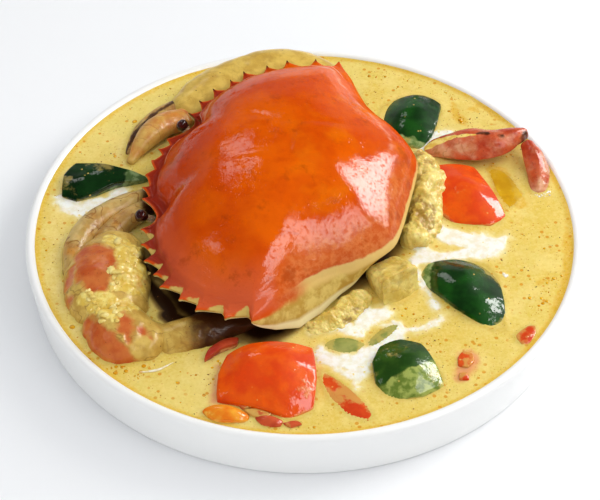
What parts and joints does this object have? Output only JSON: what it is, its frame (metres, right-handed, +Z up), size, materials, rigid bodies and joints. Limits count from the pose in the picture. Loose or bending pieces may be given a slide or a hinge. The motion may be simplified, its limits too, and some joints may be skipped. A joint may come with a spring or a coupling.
{
  "type": "cooked crab in curry sauce",
  "caption": "Whole chopped mud crab in yellow curry sauce, its orange shell on top of the claws, leg, green and red pepper, in a low round white dish.",
  "frame": {"origin": "centre of the dish's flat underside", "axes": "+Z up, out of the dish; +X to the right and +Y away from the side that the crab shell's near end lies at; the shell's toothed front faces -X"},
  "size_m": [0.22, 0.22, 0.0598],
  "materials": {
    "white_glaze": "smooth white glaze, satin gloss",
    "curry_sauce": "thick wet yellow sauce with coconut cream and drops of oil",
    "crab_shell": "cooked orange-red shell, glossy, with fine darker specks",
    "coated_shell": "orange shell under a lumpy coat of yellow sauce, wet",
    "crab_meat": "soft torn crab meat coated with sauce",
    "crab_eye": "dark glossy eye on a pale stalk",
    "green_pepper": "dark green waxy skin, wet, with a pale cut edge",
    "red_pepper": "bright red-orange waxy skin, wet, with a pale cut edge",
    "onion": "soft translucent cooked vegetable, amber to orange"
  },
  "bodies": {
    "root": {"carapace": "crab_shell", "eye_far": "crab_eye", "eye_near": "crab_eye", "crab_body": "crab_meat", "far_claw_palm": "coated_shell", "far_claw_fixed_finger": "coated_shell", "far_claw_moving_finger": "coated_shell", "near_claw_palm": "coated_shell", "near_claw_wrist": "coated_shell", "near_claw_arm": "coated_shell", "near_claw_fixed_finger": "coated_shell", "near_claw_moving_finger": "coated_shell", "leg_upper": "crab_shell", "leg_lower": "crab_shell", "leg_stub": "crab_meat", "rear_meat": "crab_meat", "front_meat": "crab_meat", "red_pepper_right": "red_pepper", "red_pepper_front": "red_pepper", "red_strip": "red_pepper", "red_scrap": "red_pepper", "green_pepper_left": "green_pepper", "green_pepper_back": "green_pepper", "green_pepper_right": "green_pepper", "green_pepper_front": "green_pepper", "green_slice_wide": "green_pepper", "green_slice_narrow": "green_pepper", "orange_piece": "onion", "broken_shell": "crab_shell", "shell_flake": "crab_shell", "onion_piece": "onion", "dish": "white_glaze", "sauce": "curry_sauce"}
  },
  "joints": []
}
